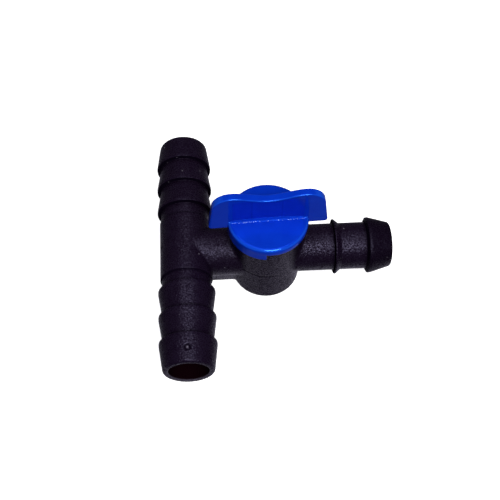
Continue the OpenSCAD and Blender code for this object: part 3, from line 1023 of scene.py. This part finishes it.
def crease_shade(tree, where):
    """The two faint lines where the flat middle of each finger recess ends, painted darker as shade."""
    x, _, z = split(tree, where)
    along = minus(tree, x, STEM_X)
    left, right = (line_mask(tree, along, at, 0.3) for at in (-RECESS_FACET, CREASE_RIGHT))
    return product(tree, largest(tree, left, right), between_disc_and_rim(tree, z))


def recess_shade(tree, where):
    """1 inside the finger recesses, whose floors get a darker blue painted as shade."""
    x, y, z = split(tree, where)
    end = RECESS_HALF - RECESS_SLOPE
    within = fall(tree, absolute(tree, minus(tree, x, STEM_X)), end, end + 0.3)
    on_bar = fall(tree, absolute(tree, y), BAR_FOOT_T / 2, BAR_FOOT_T / 2 + 0.2)
    return product(tree, within, on_bar, between_disc_and_rim(tree, z))


def edge_highlight(tree, where):
    """1 on the upper roundings of the bar and on the disc's rim, where a paler blue and more shine are painted as
    a highlight.
    """
    up = split(tree, tree.nodes.new("ShaderNodeTexCoord").outputs["Normal"])[Z]
    sideways = maths(tree, "SQRT", minus(tree, 1, product(tree, up, up)))
    edges = rise(tree, maths(tree, "MINIMUM", up, sideways), 0.3, 0.55)
    on_bar = rise(tree, split(tree, where)[Z], DISC_TOP + 1, DISC_TOP + 1.5)
    on_rim = rise(tree, off_stem(tree, where), DISC_R - 1.3, DISC_R - 1)
    return product(tree, edges, largest(tree, on_bar, on_rim))


def blue_plastic():
    """Glossy blue moulded plastic, smooth, with slight flow marks and a few fine rubs, painted shade in the finger
    recesses and along their creases, and a painted highlight on the upper edges.
    """
    mat, tree, shader = material("handle_plastic_look")
    where = millimetres(tree)
    flow = noise(tree, where, FLOW_SCALE, 4, 0.5)
    fine = noise(tree, where, RUB_SCALE)
    edges = edge_highlight(tree, where)
    colour = mix(tree, mottle(tree, flow), *HANDLE_BLUE)
    # Painted shade in the finger recesses
    colour = mix(tree, product(tree, recess_shade(tree, where), 0.6), colour, PAINTED_RECESS_SHADE)
    # Painted shade along the recesses' creases
    colour = mix(tree, product(tree, crease_shade(tree, where), 0.5), colour, PAINTED_CREASE_SHADE)
    # Painted highlight on the upper edges, which also get more shine below
    colour = mix(tree, product(tree, edges, 0.6), colour, PAINTED_EDGE_HIGHLIGHT)
    colour = mix(tree, foot_specks(tree, where), colour, PALE_SPECK_BLUE)
    normal = bump(tree, fine, 0.006, 0.6, bump(tree, flow, 0.03, 0.5))
    set_inputs(tree, shader, Base_Color=colour, Normal=normal, Metallic=0.15, Specular_Tint=BLUE_GLOSS,
               Roughness=remap(tree, fine, 0.3, 0.7, 0.09, 0.15),
               Specular_IOR_Level=remap(tree, edges, 0, 1, 0.07, 0.4))
    return mat


def pale_plastic(name, colour, rough, machined):
    """White plastic of the ball and its seats, with the rings that turning leaves."""
    mat, tree, shader = material(name)
    where = millimetres(tree)
    cloud = mottle(tree, noise(tree, where, CLOUD_SCALE, 4))
    darker = tuple(0.9 * c for c in colour)
    rings = node(tree, "TexWave", [(where, "Vector")], Scale=machined, Distortion=0.6,
                 wave_type="RINGS", rings_direction="X").outputs["Fac"]
    set_inputs(tree, shader, Base_Color=mix(tree, cloud, colour, darker),
               Normal=bump(tree, rings, 0.004, 0.6), Subsurface_Weight=0.15,
               Roughness=remap(tree, cloud, 0, 1, rough, rough + 0.1))
    shader.inputs["Subsurface Radius"].default_value = (0.8 * MM,) * 3
    return mat


def rubber():
    mat, tree, shader = material("seal_rubber_look")
    where = millimetres(tree)
    dust = rise(tree, noise(tree, where, RUBBER_DUST_SCALE, 4), 0.45, 0.75)
    set_inputs(tree, shader, Base_Color=mix(tree, dust, *RUBBER_BLACK),
               Normal=bump(tree, noise(tree, where, RUBBER_SCALE), 0.01),
               Roughness=remap(tree, dust, 0, 1, 0.55, 0.75))
    return mat


def floor_finish():
    mat, tree, shader = material("floor_look")
    tone = mottle(tree, noise(tree, millimetres(tree), FLOOR_SCALE))
    set_inputs(tree, shader, Base_Color=mix(tree, tone, *FLOOR_WHITE), Roughness=0.9, Specular_IOR_Level=0.1,
               Emission_Color=(1, 1, 1), Emission_Strength=FLOOR_GLOW)
    return mat


# ---- assembly ----

# The camera, solved from the photo's outlines
CAMERA_AIM = Vector((18.43, -0.02, 0)) * MM
CAMERA_DISTANCE = 253.23 * MM
CAMERA_AZIMUTH = math.radians(-4.72)
CAMERA_ELEVATION = math.radians(58.72)
CAMERA_ROLL = math.radians(1.55)
CAMERA_LENS = 63.30
SENSOR = 36.0

# What the plastic mirrors: a grey table, paler on the right and straight below, in a dim room
TABLE_LEFT = 0.28
TABLE_RIGHT = 0.55
TABLE_UNDER = 1.7
ROOM = 0.08
ROOM_TINT = (1.05, 1, 1.25)

# The floor and backdrop, and the softboxes over them, in metres
STAGE_HALF = 0.8
STAGE_HEIGHT = 1.2
LIGHT_TARGET = (0.02, 0, 0)
KEY_AT = (0.09, -0.33, 0.49)
KEY_SIZE = 0.26
KEY_POWER = 3.7
OVERHEAD_AT = (0.02, 0.07, 0.60)
OVERHEAD_SIZE = 0.36
OVERHEAD_POWER = 1.8


def add_object(name, data):
    obj = bpy.data.objects.new(name, data)
    bpy.context.scene.collection.objects.link(obj)
    return obj


def piece(name, mesh, mat, body, replaced):
    """A mesh that takes a CAD node's place on its body."""
    obj = add_object(name, mesh)
    mesh.materials.append(mat)
    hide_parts(replaced)
    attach(obj, body)
    return obj


def dress(mat, *names):
    """Gives CAD nodes their finish."""
    for name in names:
        for s in frame["nodes"][name].material_slots:
            s.material = mat


def staging(name, corners, faces, mat):
    """A plain surface of the studio, which only the camera and the shadows see."""
    mesh = bpy.data.meshes.new(name)
    mesh.from_pydata(corners, [], faces)
    mesh.materials.append(mat)
    obj = add_object(name, mesh)
    obj.visible_glossy = False
    obj.visible_diffuse = False
    return obj


def softbox(name, where, width, power):
    light = bpy.data.lights.new(name, "AREA")
    light.shape = "SQUARE"
    light.size = width
    light.energy = power
    obj = add_object(name, light)
    obj.location = where
    obj.rotation_euler = (Vector(LIGHT_TARGET) - Vector(where)).to_track_quat("-Z", "Y").to_euler()


def stage():
    """A pale floor under the chamber, with a plain wall on each of its sides."""
    floor_z = CHAMBER_BOTTOM * MM
    ring = [(x * STAGE_HALF, y * STAGE_HALF) for x, y in ((-1, -1), (1, -1), (1, 1), (-1, 1))]
    low = [(x, y, floor_z) for x, y in ring]
    high = [(x, y, floor_z + STAGE_HEIGHT) for x, y in ring]
    walls = [(i, i + 4, (i + 1) % 4 + 4, (i + 1) % 4) for i in range(4)]
    pale = floor_finish()
    staging("floor", low, [(0, 1, 2, 3)], pale)
    staging("backdrop", low + high, walls, pale).visible_shadow = False


def surroundings():
    """The dim world that the glossy plastic mirrors."""
    world = bpy.data.worlds.new("studio")
    bpy.context.scene.world = world
    world.use_nodes = True
    tree = world.node_tree
    x, _, z = split(tree, tree.nodes.new("ShaderNodeTexCoord").outputs["Generated"])
    table = remap(tree, x, 0, 0.5, TABLE_LEFT, TABLE_RIGHT)
    underneath = remap(tree, z, -0.99, -0.93, TABLE_UNDER, 1)
    level = maths(tree, "ADD", product(tree, table, fall(tree, z, -0.85, -0.45), underneath), ROOM)
    glow = node(tree, "CombineColor")
    for socket, tint in zip(glow.inputs, ROOM_TINT):
        put(tree, socket, product(tree, level, tint))
    put(tree, tree.nodes["Background"].inputs["Color"], glow.outputs[0])


def camera():
    """Looks from the photo's angle."""
    data = bpy.data.cameras.new("camera")
    data.lens = CAMERA_LENS
    data.sensor_width = SENSOR
    data.clip_start = 0.01
    turn = Matrix.Rotation(CAMERA_AZIMUTH, 4, "Z") @ Matrix.Rotation(math.pi / 2 - CAMERA_ELEVATION, 4, "X")
    place = Matrix.Translation(CAMERA_AIM) @ turn @ Matrix.Translation((0, 0, CAMERA_DISTANCE))
    obj = add_object("camera", data)
    obj.matrix_world = place @ Matrix.Rotation(CAMERA_ROLL, 4, "Z")
    bpy.context.scene.camera = obj


body_look = black_plastic("body_plastic_look", 0.05, 0.30)
piece("body_moulding", body_mesh(), body_look, "valve_body", "body")
piece("handle_moulding", handle_mesh(), blue_plastic(), "handle_and_stem", "handle")
dress(body_look, "bonnet")
dress(black_plastic("stem_plastic_look", 0.004, 0.35), "stem")
dress(pale_plastic("ball_plastic_look", BALL_WHITE, 0.22, 3.0), "ball")
dress(pale_plastic("seat_plastic_look", SEAT_WHITE, 0.45, 4.0), "seat_inlet", "seat_outlet")
dress(rubber(), "seat_oring_inlet", "seat_oring_outlet", "stem_oring_lower", "stem_oring_upper",
      "bonnet_oring")

stage()
surroundings()
softbox("key", KEY_AT, KEY_SIZE, KEY_POWER)
softbox("overhead", OVERHEAD_AT, OVERHEAD_SIZE, OVERHEAD_POWER)
camera()
bpy.context.scene.view_settings.view_transform = "Standard"
